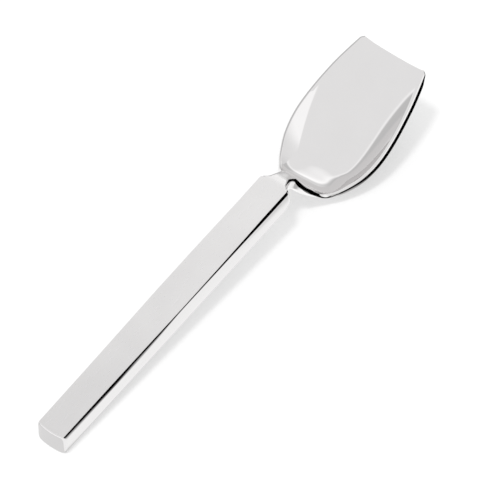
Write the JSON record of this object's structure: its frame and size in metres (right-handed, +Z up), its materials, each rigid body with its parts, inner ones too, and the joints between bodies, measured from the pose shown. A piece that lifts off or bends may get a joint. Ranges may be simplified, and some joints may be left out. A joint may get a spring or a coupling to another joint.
{
  "type": "ice cream spoon",
  "caption": "Steel ice cream spoon with a straight satin-topped bar handle, a waisted neck that dips steeply, and a shovel-shaped bowl with a straight front edge.",
  "frame": {"origin": "centre of the bounding box on the table that the spoon lies on", "axes": "+X from the butt to the bowl's front edge, +Y to the spoon's left, +Z up from the table"},
  "size_m": [0.1336, 0.027, 0.0184],
  "materials": {
    "polished_steel": "mirror-polished stainless steel",
    "satin_steel": "stainless steel with a satin top face and polished sides",
    "braze": "silver braze, ground and polished flush",
    "filler": "cast filler, not seen"
  },
  "bodies": {
    "root": {"bowl": "polished_steel", "upper_shell": "satin_steel", "lower_shell": "polished_steel", "butt_plate": "polished_steel", "left_seam": "braze", "right_seam": "braze", "butt_braze": "braze", "shoulder_braze": "braze", "handle_core": "filler"}
  },
  "joints": []
}
